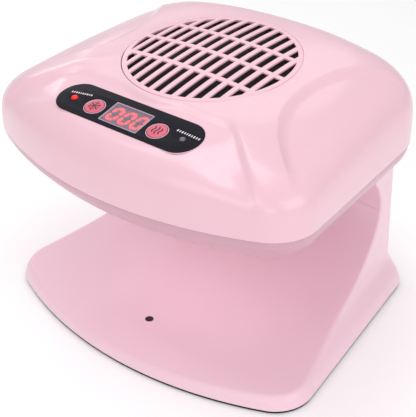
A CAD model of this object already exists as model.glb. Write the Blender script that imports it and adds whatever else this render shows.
"""Desktop nail dryer with an air inlet grille, a control panel and an open hand space."""

import math

import bmesh
import bpy
import numpy as np
from mathutils import Matrix, Vector


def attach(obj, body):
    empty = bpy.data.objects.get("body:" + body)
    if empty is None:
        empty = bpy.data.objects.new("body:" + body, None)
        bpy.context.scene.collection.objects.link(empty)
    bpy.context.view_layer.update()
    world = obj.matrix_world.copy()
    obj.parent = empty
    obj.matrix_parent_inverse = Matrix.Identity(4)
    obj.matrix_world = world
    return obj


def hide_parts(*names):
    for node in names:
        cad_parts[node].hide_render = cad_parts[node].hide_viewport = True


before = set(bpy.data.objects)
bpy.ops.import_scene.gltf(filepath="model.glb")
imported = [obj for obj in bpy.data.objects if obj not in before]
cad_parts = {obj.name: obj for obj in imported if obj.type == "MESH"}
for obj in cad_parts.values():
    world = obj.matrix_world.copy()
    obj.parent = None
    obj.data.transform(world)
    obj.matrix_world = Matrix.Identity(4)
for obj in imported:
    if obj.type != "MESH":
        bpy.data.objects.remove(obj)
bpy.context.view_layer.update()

MM = 0.001


# ---- mesh helpers
def linked(name, data):
    """New object of the scene with the given data."""
    obj = bpy.data.objects.new(name, data)
    bpy.context.scene.collection.objects.link(obj)
    return obj


def new_object(name, points, faces, material, smooth=True):
    """Object from points in millimetres and lists of vertex indices."""
    mesh = bpy.data.meshes.new(name)
    mesh.from_pydata([tuple(p) for p in np.asarray(points, float) * MM], [], faces)
    mesh.validate()
    obj = linked(name, mesh)
    mesh.materials.append(material)
    mesh.polygons.foreach_set("use_smooth", [smooth] * len(mesh.polygons))
    return obj


def grid_faces(rows, columns, start, closed):
    """Quads between neighbouring points of a grid stored row by row."""
    faces = []
    last = columns if closed else columns - 1
    for row in range(rows - 1):
        for column in range(last):
            a = start + row * columns + column
            b = start + row * columns + (column + 1) % columns
            faces.append((a, b, b + columns, a + columns))
    return faces


def shade_smooth(obj):
    obj.data.polygons.foreach_set("use_smooth", [True] * len(obj.data.polygons))


def join_points(mesh, distance, sliver=None):
    """Joins matching points, drops slivers and turns the faces outwards."""
    work = bmesh.new()
    work.from_mesh(mesh)
    bmesh.ops.remove_doubles(work, verts=work.verts, dist=distance)
    if sliver:
        bmesh.ops.dissolve_degenerate(work, edges=work.edges, dist=sliver)
    bmesh.ops.recalc_face_normals(work, faces=work.faces)
    work.to_mesh(mesh)
    work.free()


class Builder:
    """Collects grids of points, then joins them where they meet."""

    def __init__(self):
        self.points = []
        self.faces = []

    def grid(self, block, closed=False):
        """Adds a rows x columns x 3 block of points."""
        block = np.asarray(block, float)
        rows, columns = block.shape[:2]
        self.faces += grid_faces(rows, columns, len(self.points), closed)
        self.points += [tuple(p) for p in block.reshape(-1, 3)]

    def mirrored(self):
        """Adds the mirror image in X."""
        count = len(self.points)
        self.faces += [tuple(count + i for i in reversed(face)) for face in self.faces]
        self.points += [(-x, y, z) for x, y, z in self.points]

    def make(self, name, material, weld=0.01):
        """Object with matching points welded and its faces turned outwards."""
        obj = new_object(name, self.points, self.faces, material)
        join_points(obj.data, weld * MM, weld * MM * 0.5)
        shade_smooth(obj)
        return obj


def evaluated_mesh(obj):
    """Mesh that an object's modifiers or curve settings make."""
    bpy.context.view_layer.update()
    graph = bpy.context.evaluated_depsgraph_get()
    return bpy.data.meshes.new_from_object(obj.evaluated_get(graph))


def apply_modifiers(obj):
    """Replaces the mesh by the one that its modifiers make."""
    mesh = evaluated_mesh(obj)
    obj.modifiers.clear()
    obj.data = mesh
    return obj


def thicken(obj, thickness):
    """Gives an outer skin a wall inwards."""
    modifier = obj.modifiers.new("wall", "SOLIDIFY")
    modifier.thickness = thickness * MM
    modifier.offset = -1
    modifier.use_rim = True
    return apply_modifiers(obj)


def outward(obj):
    """Turns the whole skin so that most of it faces away from its centre."""
    mesh = obj.data
    centre = sum((p.center for p in mesh.polygons), Vector()) / len(mesh.polygons)
    facing = sum((p.center - centre).dot(p.normal) * p.area for p in mesh.polygons)
    if facing < 0:
        mesh.flip_normals()


def steps(start, end, count):
    """Evenly spaced values, both ends included."""
    return np.linspace(start, end, count)


def smooth_step(value):
    """Eases from 0 to 1 as the value does."""
    value = np.clip(value, 0, 1)
    return value * value * (3 - 2 * value)


def soft_max(a, b, width):
    """The larger value, with the change between them rounded over a width."""
    return 0.5 * (a + b + np.sqrt((a - b) ** 2 + width ** 2))


def soft_min(a, b, width):
    """The smaller value, with the change between them rounded over a width."""
    return 0.5 * (a + b - np.sqrt((a - b) ** 2 + width ** 2))


def tangents(x, y):
    """Slopes of a smooth curve through points, with no overshoot."""
    step = np.diff(x)
    rise = np.diff(y) / step
    slope = np.empty_like(y)
    slope[0], slope[-1] = rise[0], rise[-1]
    for i in range(1, len(y) - 1):
        if rise[i - 1] * rise[i] <= 0:
            slope[i] = 0
        else:
            w1, w2 = 2 * step[i] + step[i - 1], step[i] + 2 * step[i - 1]
            slope[i] = (w1 + w2) / (w1 / rise[i - 1] + w2 / rise[i])
    return slope


def smooth_table(value, x, y):
    """Smooth interpolation in a table of levels."""
    x, y = np.asarray(x, float), np.asarray(y, float)
    slope = tangents(x, y)
    value = np.clip(value, x[0], x[-1])
    index = np.clip(np.searchsorted(x, value) - 1, 0, len(x) - 2)
    step = x[index + 1] - x[index]
    t = (value - x[index]) / step
    return ((2 * t ** 3 - 3 * t ** 2 + 1) * y[index] + (t ** 3 - 2 * t ** 2 + t) * step * slope[index]
            + (3 * t ** 2 - 2 * t ** 3) * y[index + 1] + (t ** 3 - t ** 2) * step * slope[index + 1])


# ---- plan outlines
def outline(s, front, bow, fore, aft, corner, rear, rear_bow, rear_corner):
    """Point on the right half of a plan outline.

    s runs 0..1 along the bowed front, 1..2 round the front corner, 2..3 along the flank,
    3..4 round the rear corner and 4..5 along the rear to its middle. front and rear are
    distances from the origin, bow and rear_bow the radii of those two edges, fore and aft the
    ends of the flank's line before its corners cut it, corner and rear_corner the radii there.
    """
    s = np.asarray(s, float)
    ax, ay = aft[0] - fore[0], aft[1] - fore[1]
    length = np.hypot(ax, ay)
    ax, ay = ax / length, ay / length
    ox, oy = ay, -ax

    def corner_hub(centre, radius, small, sign):
        sx = fore[0] - ox * small
        sy = fore[1] - oy * small - centre
        half = sx * ax + sy * ay
        root = np.sqrt(half * half - (sx * sx + sy * sy) + (radius - small) ** 2)
        reach = -half + sign * root
        return sx + ax * reach, centre + sy + ay * reach

    front_hub = -front + bow
    rear_hub = rear - rear_bow
    fx, fy = corner_hub(front_hub, bow, corner, -1)
    rx, ry = corner_hub(rear_hub, rear_bow, rear_corner, 1)
    side = np.arctan2(oy, ox)
    first = np.arctan2(fy - front_hub, fx)
    last = np.arctan2(ry - rear_hub, rx)
    right = math.pi / 2
    part = np.floor(np.clip(s, 0, 4.999999))
    t = np.clip(s - part, 0, 1)

    def arc(cx, cy, radius, start, end):
        angle = start + (end - start) * t
        return cx + radius * np.cos(angle), cy + radius * np.sin(angle)

    pieces = [
        arc(0, front_hub, bow, -right, first),
        arc(fx, fy, corner, first, side),
        (fx + ox * corner + (rx + ox * rear_corner - fx - ox * corner) * t,
         fy + oy * corner + (ry + oy * rear_corner - fy - oy * corner) * t),
        arc(rx, ry, rear_corner, side, last),
        arc(0, rear_hub, rear_bow, last, right),
    ]
    x = sum(np.where(part == i, p[0], 0) for i, p in enumerate(pieces))
    y = sum(np.where(part == i, p[1], 0) for i, p in enumerate(pieces))
    return x, y


def foot_outline(s, front_in, side_in, rear_in):
    """Plan outline of the foot and column, drawn in at the front, sides and rear."""
    return outline(s, front=100.0 - front_in, bow=256.0 - front_in,
                   fore=(119.3 - side_in, -38.0), aft=(105.0 - side_in, 82.3),
                   corner=np.maximum(27.0 - side_in, 12),
                   rear=105.8 - rear_in, rear_bow=600.0 - rear_in,
                   rear_corner=np.maximum(20.0 - 0.5 * side_in, 8))


def head_outline(s, front_in, side_in, rear_in):
    """Plan outline of the head, drawn in at the front, sides and rear."""
    return outline(s, front=105.5 - front_in, bow=240.0 - front_in,
                   fore=(119.4 - side_in, -59.0), aft=(109.9 - side_in, 78.0),
                   corner=np.maximum(30.4 - 0.3 * side_in, 12),
                   rear=97.0 - rear_in, rear_bow=420.0 - rear_in,
                   rear_corner=np.maximum(38.0 - side_in, 12))


# (height, front, side, rear draw-in)
BODY_LEVELS = np.array([(2.4, 0, 0, 0), (6, 0.7, 0.8, 0.3), (10, 3, 3, 1), (14, 6, 6.5, 2.2),
                        (18, 9, 9.8, 3.6), (22, 11, 11.6, 4.8), (26, 11.2, 11.7, 5.1),
                        (100, 15, 13.4, 9.9)])
HEAD_LEVELS = np.array([(100, 24, 17, 1.8), (104, 18.5, 13, 1.5), (110, 11, 8, 1.1),
                        (117, 4.5, 3.2, 0.6), (122, 1.2, 1, 0.2), (127, 0, 0, 0)])


def inset_at(levels, z):
    """Draw-in at the front, side and rear at a height."""
    return [smooth_table(z, levels[:, 0], levels[:, i]) for i in (1, 2, 3)]


def body_point(s, z):
    """Point on the outside of the foot and column."""
    s, z = np.broadcast_arrays(np.asarray(s, float), np.asarray(z, float))
    x, y = foot_outline(s, *inset_at(BODY_LEVELS, z))
    return np.stack([x, y, z], -1)


def head_point(s, z, inset=0.0):
    """Point on the outside of the head below its widest level."""
    s, z = np.broadcast_arrays(np.asarray(s, float), np.asarray(z, float))
    front, side, rear = inset_at(HEAD_LEVELS, z)
    x, y = head_outline(s, front + inset, side + inset, rear + inset)
    return np.stack([x, y, z], -1)


def full_loop(half):
    """A closed loop of columns from its right half, which ends on both middle points."""
    mirror = half[..., -2:0:-1, :] * np.array([-1, 1, 1])
    return np.concatenate([half, mirror], axis=-2)


# ---- sculpted top of the head
FAN_Y = 3.0
WIDEST = 127.0
HEAD_WALL = 2.2
INLET_RADIUS = 56.45
INLET_LIP = 0.35
# the higher, the flatter the crown and the tighter its shoulder
POWER = 4.54
CROWN_TOP, CROWN_SLOPE, CROWN_BOW_X, CROWN_BOW_Y = 182.7, 0.0788, 0.0008, 0.0006
PANEL_Y, PANEL_Z, PANEL_TILT = -74.3, 166.2, math.radians(12.4)
GRILLE_Z, GRILLE_TILT, GRILLE_DOME = 180.3, math.radians(4.2), 480.0
SETTLE_DEPTH, SETTLE_START, SETTLE_RUN = 2.8, 88, 32
# a scoop is bounded inside by an arc about a point beyond the flank
SCOOP_X, SCOOP_Y, SCOOP_RADIUS = 145, 5, 78.5
# the bed's flank line starts at a point and runs outwards and forwards
FLANK_X, FLANK_Y, FLANK_OUT, FLANK_FORWARD, FLANK_LENGTH = 57, -51, 31, 24, 39.2
SWELL_HEIGHT, SWELL_WIDTH = 1.9, 15
BED_BACK, BED_RING, BED_FLANK_SHIFT = -50.5, 58.2, 1.8
BED_BACK_RUN, BED_EDGE_RUN = 7.0, 5.0


def crown(x, y, share):
    """Height of the plain crown; share is the part of the way from the inlet's middle to the rim."""
    top = CROWN_TOP + CROWN_SLOPE * (y - FAN_Y) - CROWN_BOW_X * x ** 2 - CROWN_BOW_Y * (y - FAN_Y) ** 2
    return WIDEST + (top - WIDEST) * np.clip(1 - share ** POWER, 0, 1) ** (1 / POWER)


def sculpted(x, y, share):
    """Height of the crown with its side scoops, control bed and flat around the inlet."""
    z = crown(x, y, share)
    side = np.abs(x)
    reach = np.hypot(x, y - FAN_Y)
    # the crown settles towards the inlet
    z = z - SETTLE_DEPTH * smooth_step((SETTLE_START - reach) / SETTLE_RUN)
    # scoops, which get narrower, deeper and crisper towards the front
    inside = SCOOP_RADIUS - np.hypot(side - SCOOP_X, y - SCOOP_Y)
    forward = smooth_step((20 - y) / 75)
    width = 8.0 - 1.0 * forward
    depth = 3.1 + 1.1 * forward
    fade = 1 - smooth_step((share - 0.80) / 0.19)
    down = np.clip(inside / width, 0, 1)
    drop = (1 - forward) * smooth_step(down) + forward * down * (2 - down)
    z = z - depth * fade * drop
    # the crown swells along the flank of the control bed
    beside = ((FLANK_X - side) * FLANK_FORWARD + (FLANK_Y - y) * FLANK_OUT) / FLANK_LENGTH
    along = ((side - FLANK_X) * FLANK_OUT - (FLANK_Y - y) * FLANK_FORWARD) / FLANK_LENGTH
    swell = SWELL_HEIGHT * np.exp(-(beside / SWELL_WIDTH) ** 2) * smooth_step((along + 6) / 16)
    z = z + swell * (1 - smooth_step((share - 0.84) / 0.14)) * (1 - drop * fade)
    # control bed, sunk to its plane, less so at the outer ends
    plane = PANEL_Z + (y - PANEL_Y) * math.tan(PANEL_TILT)
    outer = 2.5 * smooth_step((side - 51) / 26) * smooth_step((y + 91) / 12)
    sunk = soft_max(z - plane, outer, 0.5)
    back = (BED_BACK - y) / BED_BACK_RUN
    flank = (beside + BED_FLANK_SHIFT) / BED_EDGE_RUN
    ring = (reach - BED_RING) / BED_EDGE_RUN
    mask = smooth_step(1.06 * soft_min(soft_min(back, flank, 0.25), ring, 0.2))
    return z - sunk * mask


def loop_samples():
    """Places along the half outline, closer together round the corners."""
    return np.concatenate([
        steps(0, 1, 71)[:-1], steps(1, 2, 41)[:-1], steps(2, 3, 101)[:-1],
        steps(3, 4, 41)[:-1], steps(4, 5, 61)])


def crown_shares(ray, radius, rows):
    """Shares of the way from the inlet's middle to the rim, evenly spaced along the crown's surface."""
    shares = np.empty((rows, len(ray)))
    fine = 500
    for column in range(len(ray)):
        start = (INLET_RADIUS + INLET_LIP) / radius[column]
        first = math.asin(start ** (POWER / 2))
        share = np.sin(np.linspace(first, math.pi / 2, fine)) ** (2 / POWER)
        x = ray[column, 0] * share
        y = FAN_Y + ray[column, 1] * share
        z = crown(x, y, share)
        run = np.concatenate([[0], np.cumsum(np.hypot(np.diff(share * radius[column]), np.diff(z)))])
        shares[:, column] = np.interp(np.linspace(0, run[-1], rows), run, share)
    return shares


def make_top_cover(material):
    """Upper half of the head: seat of the grille, sculpted crown and the edge at the seam."""
    s = loop_samples()
    rim = head_point(s, WIDEST)
    centre = np.array([0.0, FAN_Y, WIDEST])
    ray = rim - centre
    radius = np.hypot(ray[:, 0], ray[:, 1])
    shares = crown_shares(ray, radius, rows=92)
    x = ray[:, 0] * shares
    y = FAN_Y + ray[:, 1] * shares
    z = sculpted(x, y, shares)
    z[-1] = WIDEST
    top = np.stack([x, y, z], -1)
    # rounded lip of the inlet and the wall of its seat
    outwards = ray[:, :2] / radius[:, None]
    lip = []
    for angle in np.radians([0, 22, 45, 68]):
        r = INLET_RADIUS + INLET_LIP * (1 - math.cos(angle))
        drop = INLET_LIP * (1 - math.sin(angle))
        lip.append(np.column_stack([outwards[:, 0] * r, FAN_Y + outwards[:, 1] * r, top[0][:, 2] - drop]))
    wall = [lip[0] - np.array([0, 0, depth]) for depth in (6.5, 4.0, 1.5)]
    # the wall ends in a small rounding at the seam
    edge = [head_point(s, WIDEST, 0.12) - (0, 0, 0.18), head_point(s, WIDEST, 0.45) - (0, 0, 0.22)]
    block = np.array(wall + lip + list(top) + edge)
    builder = Builder()
    builder.grid(full_loop(block), closed=True)
    obj = builder.make("top_cover_shell", material)
    outward(obj)
    return thicken(obj, HEAD_WALL)


def make_underside(material):
    """Lower half of the head: flared wall, rounded bottom edge and floor with the outlet hole."""
    s = loop_samples()
    inset, low, rounding, outlet_radius = 0.35, 100.0, 3.2, 46.0
    # the wall starts with a small rounding below the seam, a little inside the cover's wall
    wall = [head_point(s, WIDEST - 0.42, inset + 0.4), head_point(s, WIDEST - 0.5, inset + 0.12)]
    wall += [head_point(s, z, inset) for z in steps(WIDEST - 0.75, low + 3.0, 28)]
    knee = head_point(s, low, inset)
    inward = knee - np.array([0.0, FAN_Y, low])
    reach = np.hypot(inward[:, 0], inward[:, 1])[:, None]
    floor_start = knee - inward / reach * rounding
    before = wall[-1]
    for t in steps(0, 1, 8)[1:]:
        wall.append((1 - t) ** 2 * before + 2 * t * (1 - t) * knee + t * t * floor_start)
    for t in steps(0, 1, 16)[1:]:
        wall.append(floor_start + (outlet_radius - reach + rounding) * t * inward / reach)
    builder = Builder()
    builder.grid(full_loop(np.array(wall)), closed=True)
    obj = builder.make("head_underside_shell", material)
    outward(obj)
    return thicken(obj, HEAD_WALL)


# ---- foot, tray and column
# side profile of the hand space as (y, z), from the tray up to the head
SPACE_PROFILE = np.array([(-75, 11.0), (-40, 13.6), (-5, 19), (23.4, 26), (45, 38.5), (60, 54.5),
                          (66.2, 70), (62.6, 84.8), (47, 102.5)])
SENSOR_Y = -63.5
# height where the edge of the hand space turns up into the column, and of the seam in its wall
TURN_Z, GROOVE_Z = 26.0, 70.0
BODY_LOW, BODY_WALL = 2.4, 2.3
# just short of the flank's end and of the rear's middle, as places on an outline
FLANK_END, REAR_MIDDLE = 2.9999999, 4.9999999


def natural_spline(knots, values):
    """Second derivatives of the natural cubic spline through values at knots."""
    count = len(knots)
    step = np.diff(knots)
    matrix = np.zeros((count, count))
    right = np.zeros((count, values.shape[1]))
    matrix[0, 0] = matrix[-1, -1] = 1
    for i in range(1, count - 1):
        matrix[i, i - 1], matrix[i, i], matrix[i, i + 1] = step[i - 1], 2 * (step[i - 1] + step[i]), step[i]
        right[i] = 6 * ((values[i + 1] - values[i]) / step[i] - (values[i] - values[i - 1]) / step[i - 1])
    return np.linalg.solve(matrix, right)


def profile_curve():
    """Side profile of the hand space as dense (run, y, z), straight in front of its first point."""
    knots = np.concatenate([[0], np.cumsum(np.hypot(*np.diff(SPACE_PROFILE, axis=0).T))])
    second = natural_spline(knots, SPACE_PROFILE)
    run = np.linspace(0, knots[-1], 3000)
    index = np.clip(np.searchsorted(knots, run) - 1, 0, len(knots) - 2)
    step = knots[index + 1] - knots[index]
    a = ((knots[index + 1] - run) / step)[:, None]
    b = 1 - a
    points = (a * SPACE_PROFILE[index] + b * SPACE_PROFILE[index + 1]
              + ((a ** 3 - a) * second[index] + (b ** 3 - b) * second[index + 1]) * (step ** 2)[:, None] / 6)
    lip = np.array([(-130, 5.0)]) + (SPACE_PROFILE[0] - (-130, 5.0)) * np.linspace(0, 1, 400)[:-1, None]
    points = np.vstack([lip, points])
    run = np.concatenate([[0], np.cumsum(np.hypot(*np.diff(points, axis=0).T))])
    return run, points[:, 0], points[:, 1]


RUN, RUN_Y, RUN_Z = profile_curve()
RISE = np.argmax(RUN_Y)


def space_point(x, run):
    """Point on the tray, cove or back wall of the hand space."""
    x, run = np.broadcast_arrays(np.asarray(x, float), np.asarray(run, float))
    return np.stack([x, np.interp(run, RUN, RUN_Y), np.interp(run, RUN, RUN_Z)], -1)


def floor_at(y):
    """Height of the tray or cove at a depth."""
    return np.interp(y, RUN_Y[:RISE], RUN_Z[:RISE])


def run_at_height(z):
    """Way along the profile at which it reaches a height."""
    return np.interp(z, RUN_Z, RUN)


def edge_samples():
    """Where the hand space leaves the outside of the body: (s, z) from front middle to column top."""
    places = []
    candidates = np.concatenate([steps(0, 1, 46)[:-1], steps(1, 2, 27)[:-1], steps(2, 3, 140)])
    for s in candidates:
        z = 8.0
        for _ in range(40):
            z = float(floor_at(body_point(s, z)[1]))
        if z >= TURN_Z:
            break
        places.append((s, z))
    near_groove = GROOVE_Z + np.array([-1.0, -0.55, -0.3, -0.1, 0.1, 0.3, 0.55, 1.0])
    heights = np.concatenate([steps(TURN_Z, 68.4, 34), near_groove, steps(71.8, 99.9, 24)])
    for z in heights:
        y = float(np.interp(run_at_height(z), RUN, RUN_Y))
        y2, y3 = body_point(2, z)[1], body_point(FLANK_END, z)[1]
        places.append((2 + (y - y2) / (y3 - y2), z))
    return np.array(places)


def unit(vectors):
    """Vectors of the same directions and length 1."""
    return vectors / np.linalg.norm(vectors, axis=-1, keepdims=True)


def make_body(material):
    """Foot, tray and column in one skin: rounded edge, outside and hand space, then mirrored."""
    edge = edge_samples()
    s, z = edge[:, 0], edge[:, 1]
    corner = body_point(s, z)
    run = run_at_height(z)
    small = 1e-3
    along = unit(np.gradient(corner, axis=0))
    by_s = (body_point(s + small, z) - body_point(s - small, z)) / (2 * small)
    by_s[0] = (body_point(small, z[0]) - corner[0]) / small
    by_z = (body_point(s, z + small) - body_point(s, z - small)) / (2 * small)
    outside = unit(np.cross(by_s, by_z))
    away = unit(np.cross(along, outside))
    away *= np.sign(np.sum(away * (by_s * 0.5 - by_z * 20), -1))[:, None]
    # the rounding of the edge starts at a point on the outside of the body
    size = 1.9
    step_out = np.empty_like(edge)
    for i in range(len(edge)):
        system = np.stack([by_s[i], by_z[i]], -1)
        step_out[i] = np.linalg.lstsq(system, away[i] * size, rcond=None)[0]
    s_out, z_out = s + step_out[:, 0], z + step_out[:, 1]
    s_out[0] = 0
    z_out = np.clip(z_out, 3.2, 99.9)
    # and ends at a point on the surface of the hand space
    ahead, behind = space_point(corner[:, 0], run + small), space_point(corner[:, 0], run - small)
    space_along = unit((ahead - behind) / (2 * small))
    across = np.tile([1.0, 0.0, 0.0], (len(edge), 1))
    space_normal = unit(np.cross(across, space_along))
    inner = unit(np.cross(along, space_normal))
    inner *= np.sign(-inner[:, 0] * 3 + inner[:, 1])[:, None]
    x_in = corner[:, 0] + size * inner[:, 0]
    run_in = run + size * np.sum(inner * space_along, -1)
    x_in[0] = 0
    outside_points = body_point(s_out, z_out)
    space_points = space_point(x_in, run_in)
    strip = [(1 - t) ** 2 * outside_points + 2 * t * (1 - t) * corner + t * t * space_points
             for t in steps(0, 1, 7)]
    builder = Builder()
    builder.grid(np.array(strip).transpose(1, 0, 2))
    # outside, below the level where the edge turns up into the column
    turn = int(np.argmax(z >= TURN_Z))
    spread = steps(0, 1, 130)
    first_s = s_out[turn] + (REAR_MIDDLE - s_out[turn]) * spread
    column_s = np.concatenate([s_out[:turn], first_s])
    column_z = np.concatenate([z_out[:turn], np.full(len(spread), z_out[turn])])
    foot = [body_point(column_s, BODY_LOW + (column_z - BODY_LOW) * t) for t in steps(1, 0, 18)]
    foot_block = np.array(foot)
    foot_block[:, -1, 0] = 0
    builder.grid(foot_block.transpose(1, 0, 2))
    rows = []
    for i in range(turn, len(edge)):
        row = body_point(s_out[i] + (REAR_MIDDLE - s_out[i]) * spread, z_out[i])
        row[-1, 0] = 0
        rows.append(row)
    builder.grid(np.array(rows))
    # surface of the hand space, with a round hole for the sensor
    hole = 2.9
    hub = float(np.interp(SENSOR_Y, RUN_Y[:RISE], RUN[:RISE]))
    inner_ends = []
    for x, r in zip(x_in, run_in):
        if r < hub:
            length = math.hypot(x, r - hub)
            inner_ends.append((hole * x / length, hub + hole * (r - hub) / length))
        elif r < hub + hole:
            inner_ends.append((math.sqrt(hole ** 2 - (r - hub) ** 2), r))
        else:
            inner_ends.append((0.0, r))
    inner_ends = np.array(inner_ends)
    inner_ends[0, 0] = 0
    tray = []
    groove_depth, groove_width = 0.45, 0.28
    for t in steps(0, 1, 76) ** 1.15:
        x = x_in + (inner_ends[:, 0] - x_in) * t
        r = run_in + (inner_ends[:, 1] - run_in) * t
        points = space_point(x, r)
        height = points[:, 2]
        groove = groove_depth * np.exp(-((height - GROOVE_Z) / groove_width) ** 2)
        groove = groove * smooth_step((x_in - x) / 3.0)
        tray.append(points + np.stack([0 * x, groove, 0 * x], -1))
    builder.grid(np.array(tray).transpose(1, 0, 2))
    builder.mirrored()
    obj = builder.make("body_housing", material)
    outward(obj)
    return thicken(obj, BODY_WALL)


# ---- inlet grille
GRILLE_RADIUS = 56.3
SLOT_FIELD = 53.0
SLOT_PITCH = 8.45
SLAT_WIDTH = 3.45
RIB_PITCH = 22.7
RIB_WIDTH = 3.5
GRILLE_THICK = 1.1
SKIRT_THICK = 1.7
SKIRT_LOW = -2.9
BAR_ROUND = 0.3


def placement(y, z, tilt):
    """Frame of a tilted face: x to the right, y up the slope and z out of the face."""
    return Matrix.Translation((0, y * MM, z * MM)) @ Matrix.Rotation(tilt, 4, "X")


PANEL_FRAME = placement(PANEL_Y, PANEL_Z, PANEL_TILT)
GRILLE_FRAME = placement(FAN_Y, GRILLE_Z, GRILLE_TILT)


def rounded_bar(width, top, bottom, radius):
    """Section of a bar as (across, height), with its two upper edges rounded."""
    half = width / 2
    right = [(half - radius + radius * math.cos(a), top - radius + radius * math.sin(a))
             for a in np.radians([0, 22, 45, 68, 90])]
    left = [(-across, height) for across, height in reversed(right)]
    middle = [(across, top) for across in steps(half - radius, radius - half, 6)[1:-1]]
    lower = [(-half, bottom), (half, bottom)]
    return np.array(right + middle + left + lower)


def dome_drop(x, y):
    """Fall of the domed grille below its middle."""
    return (x * x + y * y) / (2 * GRILLE_DOME)


def swept_bar(builder, section, reach, centre, along_y):
    """Bar along one axis that follows the dome, closed at both ends."""
    run = steps(-reach, reach, 64)
    rows = []
    for place in run:
        across = centre + section[:, 0]
        x, y = (across, np.full(len(across), place)) if along_y else (np.full(len(across), place), across)
        rows.append(np.stack([x, y, section[:, 1] - dome_drop(x, y)], -1))
    start = len(builder.points)
    builder.grid(np.array(rows), closed=True)
    count = len(section)
    last = start + (len(run) - 1) * count
    builder.faces.append(tuple(range(start, start + count)))
    builder.faces.append(tuple(reversed(range(last, last + count))))


def boolean(obj, other, operation):
    """Joins or cuts closed pieces, and drops the second one."""
    modifier = obj.modifiers.new("boolean", "BOOLEAN")
    modifier.operation = operation
    modifier.solver = "MANIFOLD"
    modifier.object = other
    apply_modifiers(obj)
    bpy.data.objects.remove(other)
    return obj


def crisp(obj, angle=32):
    """Smooth shading that stops at the edges sharper than an angle."""
    shade_smooth(obj)
    obj.data.set_sharp_from_angle(angle=math.radians(angle))
    return obj


def make_inlet_grille(material):
    """Twelve slats, three ribs across them and a ring with a skirt, joined into one piece."""
    slats = Builder()
    section = rounded_bar(SLAT_WIDTH, 0.0, -GRILLE_THICK, BAR_ROUND)
    for column in range(-6, 6):
        centre = (column + 0.5) * SLOT_PITCH
        edge = abs(centre) - SLAT_WIDTH / 2
        swept_bar(slats, section, math.sqrt((SLOT_FIELD + 0.7) ** 2 - edge ** 2), centre, True)
    grille = slats.make("inlet_grille_bars", material, weld=0.001)
    ribs = Builder()
    section = rounded_bar(RIB_WIDTH, -0.08, -GRILLE_THICK - 0.1, BAR_ROUND)
    for row in (-1, 0, 1):
        edge = abs(row * RIB_PITCH) - RIB_WIDTH / 2
        swept_bar(ribs, section, math.sqrt((SLOT_FIELD + 0.9) ** 2 - edge ** 2), row * RIB_PITCH, False)
    turn = np.radians([90, 68, 45, 22, 0])
    outer = [(GRILLE_RADIUS - 0.3 + 0.3 * math.cos(a), -0.3 + 0.3 * math.sin(a)) for a in turn]
    inner = [(SLOT_FIELD + 0.4 - 0.4 * math.cos(a), -0.4 + 0.4 * math.sin(a)) for a in turn[::-1]]
    low = [(GRILLE_RADIUS, SKIRT_LOW), (GRILLE_RADIUS - SKIRT_THICK, SKIRT_LOW),
           (GRILLE_RADIUS - SKIRT_THICK, -GRILLE_THICK - 0.2), (SLOT_FIELD, -GRILLE_THICK - 0.2)]
    profile = np.array(outer + low + inner)
    profile[:, 1] -= profile[:, 0] ** 2 / (2 * GRILLE_DOME)
    ring = turned_piece("ring", profile, material, segments=240)
    grille = boolean(grille, ribs.make("ribs", material, weld=0.001), "UNION")
    grille = boolean(grille, ring, "UNION")
    grille.data.transform(GRILLE_FRAME)
    return crisp(grille)


def turned_piece(name, profile, material, centre=(0, 0), segments=96, place=None):
    """Piece turned about the upright axis through a centre, from a closed (radius, height) profile."""
    profile = np.asarray(profile, float)
    angle = steps(0, 2 * math.pi, segments + 1)[:-1]
    block = np.stack([centre[0] + profile[:, 0][:, None] * np.cos(angle),
                      centre[1] + profile[:, 0][:, None] * np.sin(angle),
                      np.broadcast_to(profile[:, 1][:, None], (len(profile), segments))], -1)
    if profile[0, 0] > 0:
        block = np.concatenate([block, block[:1]])
    builder = Builder()
    builder.grid(block, closed=True)
    obj = builder.make(name, material, weld=0.002)
    if place is not None:
        obj.data.transform(place)
    return obj


# ---- flat pieces of the control panel
def circle_loop(x, y, radius, count=72):
    angle = steps(0, 2 * math.pi, count + 1)[:-1]
    return np.column_stack([x + radius * np.cos(angle), y + radius * np.sin(angle)])


def rounded_loop(x, y, length, width, radius, count=12):
    """Rectangle with rounded corners."""
    points = []
    for sx, sy, start in ((1, 1, 0), (-1, 1, 90), (-1, -1, 180), (1, -1, 270)):
        for angle in np.radians(steps(start, start + 90, count)):
            points.append((x + sx * (length / 2 - radius) + radius * math.cos(angle),
                           y + sy * (width / 2 - radius) + radius * math.sin(angle)))
    return np.array(points)


def turned_loop(loop, angle, x, y):
    """Loop turned about the origin and then moved."""
    angle = math.radians(angle)
    matrix = np.array([[math.cos(angle), math.sin(angle)], [-math.sin(angle), math.cos(angle)]])
    return np.asarray(loop) @ matrix + (x, y)


def flat_piece(name, loops, low, high, material, round_by=0.0):
    """Plate on the panel between two heights, from outlines and the outlines of its holes."""
    curve = bpy.data.curves.new(name, "CURVE")
    curve.dimensions = "2D"
    curve.fill_mode = "BOTH"
    curve.extrude = ((high - low) / 2 - round_by) * MM
    curve.bevel_depth = round_by * MM
    curve.bevel_resolution = 2
    curve.offset = -round_by * MM
    for loop in loops:
        spline = curve.splines.new("POLY")
        spline.points.add(len(loop) - 1)
        for point, (x, y) in zip(spline.points, loop):
            point.co = (x * MM, y * MM, 0, 1)
        spline.use_cyclic_u = True
    source = linked(name + "_curve", curve)
    mesh = evaluated_mesh(source)
    bpy.data.objects.remove(source)
    join_points(mesh, 1e-6)
    mesh.transform(Matrix.Translation((0, 0, (low + high) / 2 * MM)))
    mesh.transform(PANEL_FRAME)
    mesh.materials.clear()
    mesh.materials.append(material)
    return crisp(linked(name, mesh), 40)


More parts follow.
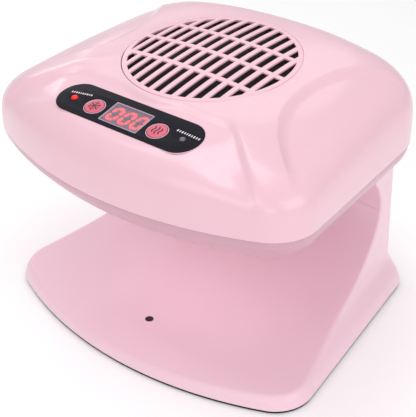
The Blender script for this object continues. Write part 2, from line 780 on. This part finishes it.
SIDES = ((-1, "cool"), (1, "hot"))
OVERLAY_LENGTH, OVERLAY_WIDTH = 107.6, 27.6
WINDOW = (-0.2, -1.1, 29.0, 17.7)
BUTTON_X, BUTTON_Y, BUTTON_RADIUS = 24.4, -2.2, 5.9
BUTTON_GAP = 0.3
LED_X, LED_Y, LED_RADIUS = 42.0, -1.1, 1.9
FILM = 0.6
DIGIT_PITCH = 9.3
DIGIT_LOW, DIGIT_HIGH = -1.35, -0.9


def overlay_loop(growth):
    """Outline of the film, grown or shrunk."""
    width = OVERLAY_WIDTH + 2 * growth
    return rounded_loop(0, 0, OVERLAY_LENGTH + 2 * growth, width, width / 2 - 0.01, 36)


def window_loop(growth, radius=0.6):
    """Outline of the display window, grown or shrunk."""
    x, y, length, width = WINDOW
    return rounded_loop(x, y, length + 2 * growth, width + 2 * growth, radius, 6)


def panel_holes(button, lamp, window):
    """Outlines of the holes: button and lamp radii, and the window's growth."""
    loops = [window_loop(window)]
    for side in (-1, 1):
        loops.append(circle_loop(side * BUTTON_X, BUTTON_Y, button))
        loops.append(circle_loop(side * LED_X, LED_Y, lamp, 36))
    return loops


def cut_panel_holes(cover, material):
    """Pocket for the film and holes for the window, the buttons and the lamps."""
    pocket = flat_piece("pocket", [overlay_loop(0.15)], -FILM, 5.0, material)
    boolean(cover, pocket, "DIFFERENCE")
    loops = panel_holes(BUTTON_RADIUS + BUTTON_GAP, LED_RADIUS + 0.3, 0.1)
    holes = flat_piece("holes", loops, -9.0, 5.0, material)
    boolean(cover, holes, "DIFFERENCE")
    return crisp(cover, 40)


def tick_row(start, end, widths, height):
    """Row of small bars between two points, one bar per width."""
    (x0, y0), (x1, y1) = start, end
    angle = math.degrees(math.atan2(y1 - y0, x1 - x0))
    length = math.hypot(x1 - x0, y1 - y0)
    gap = (length - sum(widths)) / (len(widths) - 1)
    loops = []
    place = 0.0
    for width in widths:
        share = (place + width / 2) / length
        bar = rounded_loop(0, 0, width, height, 0.15, 3)
        loops.append(turned_loop(bar, angle, x0 + (x1 - x0) * share, y0 + (y1 - y0) * share))
        place += width + gap
    return loops


def snow_star(x, y, radius, width):
    """Six-armed star, the mark for cool air."""
    points = []
    for arm in range(6):
        angle = math.radians(30 + 60 * arm)
        along = np.array([math.cos(angle), math.sin(angle)])
        across = np.array([-math.sin(angle), math.cos(angle)])
        points.append(radius * along - width / 2 * across)
        points.append(radius * along + width / 2 * across)
        notch = angle + math.radians(30)
        points.append(width * np.array([math.cos(notch), math.sin(notch)]))
    return np.array(points) + (x, y)


def heat_wave(x, y, height, width):
    """Upright wavy bar, part of the mark for warm air."""
    rise = steps(-height / 2, height / 2, 21)
    sway = 0.42 * np.sin(rise / height * 2 * math.pi * 1.25)
    right = np.column_stack([x + sway + width / 2, y + rise])
    left = np.column_stack([x + sway - width / 2, y + rise])[::-1]
    return np.vstack([right, left])


def digit_bars(x, y, lit, height=12.4, width=7.6, stroke=2.0, slant=0.13):
    """Hexagonal bars of a slanted zero, or its unlit middle bar."""
    gap = 0.22
    half = stroke / 2
    level = height / 2 - half
    side = width / 2 - half

    def across(cy):
        end = side - gap
        return [(-end, cy), (-end + half, cy + half), (end - half, cy + half), (end, cy),
                (end - half, cy - half), (-end + half, cy - half)]

    def upright(cx, low, high):
        return [(cx, low + gap), (cx + half, low + gap + half), (cx + half, high - gap - half),
                (cx, high - gap), (cx - half, high - gap - half), (cx - half, low + gap + half)]

    if lit:
        bars = [across(level), across(-level)]
        bars += [upright(sign * side, low, low + level) for sign in (-1, 1) for low in (-level, 0)]
    else:
        bars = [across(0)]
    return [np.array([(x + px + slant * py, y + py) for px, py in bar]) for bar in bars]


def film_pieces():
    """Printed film with its border, the tick marks and a ring round each button."""
    holes = panel_holes(BUTTON_RADIUS + BUTTON_GAP, LED_RADIUS + 0.2, 0.05)
    film = flat_piece("panel_film", [overlay_loop(-0.2)] + holes, -FILM, 0.0, navy, 0.12)
    edges = [overlay_loop(0.12), overlay_loop(-0.22)]
    border = flat_piece("panel_border", edges, -0.5, 0.06, ring_pink, 0.08)
    widths = (0.9, 0.7, 1.0, 0.8, 0.6, 0.9, 0.7, 1.0, 0.7, 0.9)
    rows = tick_row((-47.7, 2.6), (-33.4, 5.4), widths, 1.4)
    rows += tick_row((34.0, 4.1), (50.6, 3.4), widths, 1.6)
    marks = flat_piece("panel_marks", rows, -0.05, 0.05, pale_ink)
    profile = [(6.25, -0.3), (6.25, 0.05), (6.33, 0.17), (6.5, 0.22), (6.67, 0.17), (6.75, 0.05),
               (6.75, -0.3)]
    rings = [turned_piece("button_ring_" + label, profile, ring_pink, (side * BUTTON_X, BUTTON_Y), 120,
                          PANEL_FRAME) for side, label in SIDES]
    for piece in [film, border, marks] + rings:
        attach(piece, "root")
        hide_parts("panel_overlay")


def window_pieces():
    """Surround and pane of the display window."""
    frame_loops = [window_loop(0.0), window_loop(-0.5, 0.4)]
    surround = flat_piece("window_surround", frame_loops, -0.8, 0.12, window_edge, 0.1)
    glass = flat_piece("window_glass", [window_loop(-0.48, 0.4)], -0.75, -0.1, lilac, 0.08)
    for piece in (surround, glass):
        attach(piece, "root")
        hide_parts("display_window")


def digit_pieces():
    """Three zeros behind the window, and their unlit middle bars."""
    centres = [(place * DIGIT_PITCH, WINDOW[1] + 0.3) for place in (-1, 0, 1)]
    bars = {lit: [bar for x, y in centres for bar in digit_bars(x, y, lit)] for lit in (True, False)}
    lit = flat_piece("display_zeros", bars[True], DIGIT_LOW, DIGIT_HIGH, digit_glow)
    unlit = flat_piece("display_unlit", bars[False], DIGIT_LOW, DIGIT_HIGH, digit_unlit)
    for piece in (lit, unlit):
        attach(piece, "root")
        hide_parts("display_segments")


def button_pieces(side, label):
    """Domed cap with a flange below, and the mark on it."""
    x = side * BUTTON_X
    rounding = [(5.9, 0.1), (5.87, 0.25), (5.78, 0.38), (5.65, 0.46), (5.45, 0.5)]
    dome = [(r, 0.72 - 0.2 * (r / 5.2) ** 2) for r in (4.8, 4.0, 3.2, 2.4, 1.6, 0.8)]
    profile = [(0, -4.1), (7.2, -4.1), (7.2, -2.8), (BUTTON_RADIUS, -2.8)] + rounding + dome + [(0, 0.72)]
    cap = turned_piece(label + "_cap", profile, coral, (x, BUTTON_Y), 120, PANEL_FRAME)
    crisp(cap, 50)
    if side < 0:
        loops = [snow_star(x, BUTTON_Y, 3.9, 0.75)]
        loops += [circle_loop(x + 3.0 * math.cos(a), BUTTON_Y + 3.0 * math.sin(a), 0.42, 16)
                  for a in np.radians(steps(0, 300, 6))]
    else:
        loops = [heat_wave(x + shift, BUTTON_Y, tall, 0.85)
                 for shift, tall in ((-2.3, 5.2), (0, 6.6), (2.3, 5.2))]
    mark = flat_piece(label + "_mark", loops, 0.3, 0.76, dark_mark)
    for piece in (cap, mark):
        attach(piece, label + "_button")
        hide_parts(label + "_button")


def lamp_piece(side, label):
    """Lamp lens with a round end, which stands a little out of the film."""
    dome = [(LED_RADIUS * math.cos(a), 0.1 + 0.85 * math.sin(a)) for a in np.radians([0, 20, 40, 60, 75])]
    profile = [(0, -6.5), (LED_RADIUS, -6.5), (LED_RADIUS, -5.5)] + dome + [(0, 0.95)]
    lamp = turned_piece(label + "_lamp_lens", profile, lamp_glow if side < 0 else lamp_grey,
                        (side * LED_X, LED_Y), 48, PANEL_FRAME)
    crisp(lamp, 50)
    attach(lamp, "root")
    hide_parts(label + "_led")


# ---- materials
def fill(made, **values):
    """Gives a node's settings, or else its inputs, the given values."""
    for name, value in values.items():
        if hasattr(made, name):
            setattr(made, name, value)
        else:
            made.inputs[name.replace("_", " ")].default_value = value
    return made


def node(tree, kind, **values):
    return fill(tree.nodes.new(kind), **values)


def srgb(r, g, b):
    """Linear colour from 0..255 display values."""
    def channel(v):
        v /= 255
        return v / 12.92 if v <= 0.04045 else ((v + 0.055) / 1.055) ** 2.4
    return (channel(r), channel(g), channel(b), 1.0)


def ramp(tree, source, low, high):
    """Maps the middle of a noise's values to a range."""
    made = node(tree, "ShaderNodeMapRange", From_Min=0.3, From_Max=0.7, To_Min=low, To_Max=high)
    tree.links.new(source, made.inputs["Value"])
    return made.outputs["Result"]


def coloured(tree, shader, factor, first, second):
    """Base colour that runs from one colour to another with a factor."""
    mix = node(tree, "ShaderNodeMix", data_type="RGBA")
    mix.inputs["A"].default_value = first
    mix.inputs["B"].default_value = second
    tree.links.new(factor, mix.inputs["Factor"])
    tree.links.new(mix.outputs["Result"], shader.inputs["Base Color"])


def scaled(colour, factor):
    """Lighter or darker colour."""
    return tuple(min(1.0, c * factor) for c in colour[:3]) + (1.0,)


GRAIN_HEIGHT = 0.00012


def surface(name, colour, roughness=0.35, metallic=0.0, grain=900.0, bump=0.03, mottle=0.05,
            cloud=22.0, spread=0.08, coat=0.0, coat_roughness=0.1, specular=0.5, subsurface=0.0):
    """Moulded or metal surface with fine grain, slow colour drift and uneven gloss."""
    material = bpy.data.materials.new(name)
    material.use_nodes = True
    tree = material.node_tree
    shader = tree.nodes["Principled BSDF"]
    fill(shader, Metallic=metallic, Specular_IOR_Level=specular, Coat_Weight=coat,
         Coat_Roughness=coat_roughness, Subsurface_Weight=subsurface)
    if subsurface:
        fill(shader, Subsurface_Radius=(1.0, 0.45, 0.45), Subsurface_Scale=0.002)
    place = node(tree, "ShaderNodeTexCoord")
    slow = node(tree, "ShaderNodeTexNoise", Scale=cloud, Detail=3.0)
    fine = node(tree, "ShaderNodeTexNoise", Scale=grain, Detail=5.0, Roughness=0.6)
    wide = node(tree, "ShaderNodeTexNoise", Scale=cloud * 5, Detail=6.0, Roughness=0.65)
    for texture in (slow, fine, wide):
        tree.links.new(place.outputs["Object"], texture.inputs["Vector"])
    coloured(tree, shader, ramp(tree, slow.outputs["Fac"], 0, 1), scaled(colour, 1 - mottle),
             scaled(colour, 1 + mottle))
    tree.links.new(ramp(tree, wide.outputs["Fac"], roughness - spread, roughness + spread),
                   shader.inputs["Roughness"])
    height = node(tree, "ShaderNodeBump", Strength=bump, Distance=GRAIN_HEIGHT)
    tree.links.new(fine.outputs["Fac"], height.inputs["Height"])
    tree.links.new(height.outputs["Normal"], shader.inputs["Normal"])
    return material


def brushed(name, colour, roughness, grain_axis):
    """Metal with fine lines along one axis, darker where it is dull."""
    material = surface(name, colour, roughness, 1.0, grain=1500, bump=0.06, mottle=0.08, cloud=120)
    tree = material.node_tree
    shader = tree.nodes["Principled BSDF"]
    stretch = node(tree, "ShaderNodeMapping")
    stretch.inputs["Scale"].default_value = [90 if along else 2600 for along in grain_axis]
    lines = node(tree, "ShaderNodeTexNoise", Scale=1.0, Detail=4.0)
    tree.links.new(tree.nodes["Texture Coordinate"].outputs["Object"], stretch.inputs["Vector"])
    tree.links.new(stretch.outputs["Vector"], lines.inputs["Vector"])
    tree.links.new(ramp(tree, lines.outputs["Fac"], roughness * 0.7, roughness * 1.3),
                   shader.inputs["Roughness"])
    return material


def mesh_cloth(name, colour):
    """Dark cloth of threads that cross at right angles."""
    material = surface(name, colour, 0.6, grain=1500, bump=0.1, mottle=0.2, cloud=80, specular=0.2)
    tree = material.node_tree
    shader = tree.nodes["Principled BSDF"]
    place = tree.nodes["Texture Coordinate"]
    threads = []
    for direction in ("X", "Y"):
        wave = node(tree, "ShaderNodeTexWave", bands_direction=direction, Scale=330.0, Distortion=0.3)
        tree.links.new(place.outputs["Object"], wave.inputs["Vector"])
        threads.append(wave.outputs["Fac"])
    cross = node(tree, "ShaderNodeMath", operation="MAXIMUM")
    tree.links.new(threads[0], cross.inputs[0])
    tree.links.new(threads[1], cross.inputs[1])
    coloured(tree, shader, cross.outputs["Value"], scaled(colour, 0.45), scaled(colour, 1.2))
    height = node(tree, "ShaderNodeBump", Strength=0.6, Distance=0.0003)
    tree.links.new(cross.outputs["Value"], height.inputs["Height"])
    tree.links.new(height.outputs["Normal"], shader.inputs["Normal"])
    return material


def glowing(name, colour, strength, base):
    """Lit plastic whose light is a little uneven."""
    material = surface(name, base, roughness=0.3, grain=1500, bump=0.02, mottle=0.08)
    tree = material.node_tree
    shader = tree.nodes["Principled BSDF"]
    place = tree.nodes["Texture Coordinate"]
    uneven = node(tree, "ShaderNodeTexNoise", Scale=420.0, Detail=2.0)
    tree.links.new(place.outputs["Object"], uneven.inputs["Vector"])
    shader.inputs["Emission Color"].default_value = colour
    tree.links.new(ramp(tree, uneven.outputs["Fac"], strength * 0.8, strength * 1.2),
                   shader.inputs["Emission Strength"])
    return material


def shell_plastic(name, colour, roughness, coat, cloud=14, **more):
    """Satin shell plastic, nearly even in colour."""
    return surface(name, colour, roughness=roughness, grain=1400, bump=0.03, mottle=0.012, cloud=cloud,
                   spread=0.04, coat=coat, **more)


pink = shell_plastic("pink_shell", srgb(242, 197, 211), 0.40, 0.85, coat_roughness=0.2, subsurface=0.08)
pink_body = shell_plastic("pink_body", srgb(248, 210, 224), 0.42, 0.5, coat_roughness=0.2, subsurface=0.08)
pink_under = shell_plastic("pink_under", srgb(208, 160, 176), 0.42, 0.4, coat_roughness=0.2,
                           subsurface=0.08)
pink_grille = shell_plastic("pink_grille", srgb(243, 197, 211), 0.4, 0.3, cloud=20, coat_roughness=0.15)
navy = surface("navy_film", srgb(24, 23, 34), roughness=0.45, grain=2600, bump=0.08, mottle=0.08,
               cloud=60, spread=0.06, specular=0.1)
pale_ink = surface("pale_ink", srgb(236, 226, 232), roughness=0.5, grain=2600, bump=0.05)
coral = surface("coral_cap", srgb(222, 100, 124), roughness=0.35, grain=1600, bump=0.05, mottle=0.04,
                cloud=90, coat=0.25, coat_roughness=0.2)
dark_mark = surface("dark_mark", srgb(84, 30, 46), roughness=0.5, grain=1600, bump=0.05)
ring_pink = surface("ring_pink", srgb(236, 190, 204), roughness=0.3, grain=1600, bump=0.03, coat=0.2)
lilac = surface("window_panel", srgb(176, 160, 182), roughness=0.28, grain=1800, bump=0.03,
                mottle=0.05, cloud=70, coat=0.4, coat_roughness=0.08)
fill(lilac.node_tree.nodes["Principled BSDF"], Alpha=0.22)
window_edge = surface("window_edge", srgb(190, 176, 196), roughness=0.22, grain=1800, bump=0.03,
                      mottle=0.04, cloud=70, coat=0.5, coat_roughness=0.06)
digit_unlit = surface("digit_unlit", srgb(104, 84, 100), roughness=0.4, grain=1800, bump=0.03, mottle=0.05)
digit_glow = glowing("digit_glow", srgb(255, 84, 70), 1.15, srgb(190, 66, 66))
lamp_glow = glowing("lamp_glow", srgb(255, 18, 4), 1.05, srgb(190, 8, 4))
lamp_grey = surface("lamp_grey_lens", srgb(92, 90, 104), roughness=0.25, grain=1500, coat=0.5)
black = surface("black_base", srgb(14, 13, 16), roughness=0.55, grain=1100, bump=0.2, mottle=0.15,
                cloud=40, specular=0.12)


# ---- build
top_cover = make_top_cover(pink)
cut_panel_holes(top_cover, pink)
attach(top_cover, "root")
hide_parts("top_cover")

underside = make_underside(pink_under)
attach(underside, "root")
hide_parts("head_underside")

body = make_body(pink_body)
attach(body, "root")
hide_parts("body_shell")

inlet = make_inlet_grille(pink_grille)
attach(inlet, "root")
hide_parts("inlet_grille")

film_pieces()
window_pieces()
digit_pieces()
for side, label in SIDES:
    button_pieces(side, label)
    lamp_piece(side, label)

SLOT_LOOKS = {
    "grille_pink": pink_grille,
    "overlay_navy": navy,
    "button_coral": coral,
    "segment_red": digit_glow,
    "lamp_red": lamp_glow,
    "lamp_grey": lamp_grey,
    "window_lilac": lilac,
    "shell_pink": pink,
    "screen_black": mesh_cloth("screen_mesh", srgb(46, 34, 40)),
    "base_black": black,
    "foot_rubber": surface("foot_rubber_look", srgb(32, 32, 34), 0.75, grain=700, bump=0.35, mottle=0.2,
                           cloud=60),
    "sensor_dark": surface("sensor_look", srgb(20, 12, 16), 0.08, grain=900, bump=0.02, mottle=0.2,
                           coat=0.6),
    "gland_black": surface("gland_look", srgb(30, 30, 32), 0.55, grain=900, bump=0.25, mottle=0.15),
    "fan_grey": surface("fan_grey_look", srgb(196, 196, 194), 0.5, grain=900, bump=0.15, mottle=0.06),
    "fan_black": surface("fan_black_look", srgb(34, 34, 36), 0.45, grain=900, bump=0.15, mottle=0.15),
    "motor_steel": brushed("motor_steel_look", srgb(186, 186, 190), 0.34, (0, 0, 1)),
    "shaft_steel": brushed("shaft_steel_look", srgb(200, 200, 204), 0.2, (0, 0, 1)),
    "bush_bronze": surface("bush_bronze_look", srgb(176, 128, 72), 0.42, 1.0, grain=1800, bump=0.4,
                           mottle=0.15, cloud=300),
    "magnet_dark": surface("magnet_look", srgb(58, 58, 62), 0.55, 0.4, grain=1600, bump=0.35, mottle=0.2),
    "armature_copper": brushed("armature_look", srgb(188, 104, 66), 0.35, (0, 0, 1)),
    "mica_card": surface("mica_look", srgb(206, 190, 150), 0.4, grain=260, bump=0.2, mottle=0.16, cloud=160),
    "heater_wire": brushed("heater_wire_look", srgb(132, 126, 124), 0.38, (1, 0, 0)),
    "board_green": surface("board_look", srgb(30, 112, 62), 0.35, grain=420, bump=0.25, mottle=0.18,
                           cloud=180, coat=0.3),
    "component_black": surface("component_look", srgb(42, 42, 46), 0.5, grain=1200, bump=0.25, mottle=0.15),
    "component_blue": surface("component_blue_look", srgb(44, 82, 150), 0.3, grain=900, bump=0.1, mottle=0.1,
                              coat=0.3),
    "terminal_green": surface("terminal_look", srgb(66, 146, 92), 0.45, grain=900, bump=0.15, mottle=0.1),
    "switch_steel": brushed("switch_look", srgb(196, 196, 198), 0.32, (1, 0, 0)),
    "screw_zinc": brushed("screw_look", srgb(190, 190, 184), 0.3, (1, 0, 0)),
}
display_face = surface("display_face", srgb(120, 104, 124), 0.45, grain=1500, bump=0.08, mottle=0.22,
                       cloud=210)
for name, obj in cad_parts.items():
    slot_name = obj.data.materials[0].name
    if slot_name in SLOT_LOOKS:
        obj.data.materials[0] = SLOT_LOOKS[slot_name]
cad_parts["display_module"].data.materials[0] = display_face


# ---- stage
def make_floor():
    """Plain pale floor that gives off a little light of its own."""
    material = surface("floor_paint", (0.93, 0.93, 0.93, 1), roughness=0.6, grain=60, bump=0.01,
                       mottle=0.003, cloud=1.5)
    shader = material.node_tree.nodes["Principled BSDF"]
    fill(shader, Emission_Color=(1, 1, 1, 1), Emission_Strength=0.14)
    reach = 3000
    corners = [(-reach, -reach, 0), (reach, -reach, 0), (reach, reach, 0), (-reach, reach, 0)]
    floor = new_object("floor", corners, [(0, 1, 2, 3)], material, smooth=False)


def area_light(name, place, aim, size, power, spread=180):
    """Soft box that shines from a place towards a point and isn't seen by the camera."""
    data = bpy.data.lights.new(name, "AREA")
    data.shape = "RECTANGLE"
    data.size, data.size_y = size
    data.energy = power
    data.spread = math.radians(spread)
    obj = linked(name, data)
    obj.visible_camera = False
    obj.location = place
    obj.rotation_euler = (Vector(aim) - Vector(place)).to_track_quat("-Z", "Y").to_euler()


def make_world():
    """Even, nearly white surroundings."""
    world = bpy.data.worlds.new("studio")
    world.use_nodes = True
    fill(world.node_tree.nodes["Background"], Color=(1.0, 0.985, 0.99, 1), Strength=0.58)
    bpy.context.scene.world = world


def make_camera():
    """Camera from the right front and above, turned by an azimuth, a pitch and a slight roll."""
    data = bpy.data.cameras.new("camera")
    data.lens = 84.99
    data.sensor_width = 36
    data.clip_start, data.clip_end = 0.01, 20
    obj = linked("camera", data)
    azimuth, pitch, roll = math.radians(39.001), math.radians(32.486), -0.0021
    right = Vector((math.cos(azimuth), math.sin(azimuth), 0))
    level = math.cos(pitch)
    forward = Vector((-math.sin(azimuth) * level, math.cos(azimuth) * level, -math.sin(pitch)))
    up = right.cross(forward)
    turned_right = right * math.cos(roll) + up * math.sin(roll)
    turned_up = up * math.cos(roll) - right * math.sin(roll)
    matrix = Matrix((turned_right, turned_up, -forward)).transposed().to_4x4()
    matrix.translation = Vector((0.3529, -0.4372, 0.4246))
    obj.matrix_world = matrix
    bpy.context.scene.camera = obj


make_floor()
make_world()
area_light("overhead", (-0.12, -0.12, 1.15), (-0.12, -0.12, 0.1), (1.0, 0.55), 4.1)
area_light("front", (0.20, -1.2, 0.72), (0, -0.04, 0.03), (0.9, 0.5), 1.75)
area_light("back", (-0.57, 0.92, 1.0), (0, 0, 0.15), (0.9, 0.6), 1.2)
area_light("side", (1.15, -0.15, 0.62), (0, 0, 0.08), (0.8, 0.6), 2.6)
area_light("corner", (0.75, -0.95, 0.33), (0.06, -0.08, 0.05), (0.35, 0.25), 0.55)
area_light("rim", (-1.05, 0.45, 0.62), (-0.08, -0.03, 0.16), (0.5, 0.25), 0.9)
area_light("hand_space", (0, -0.035, 0.0975), (0, -0.035, 0), (0.17, 0.09), 0.014, spread=100)
make_camera()
bpy.context.scene.view_settings.view_transform = "Standard"
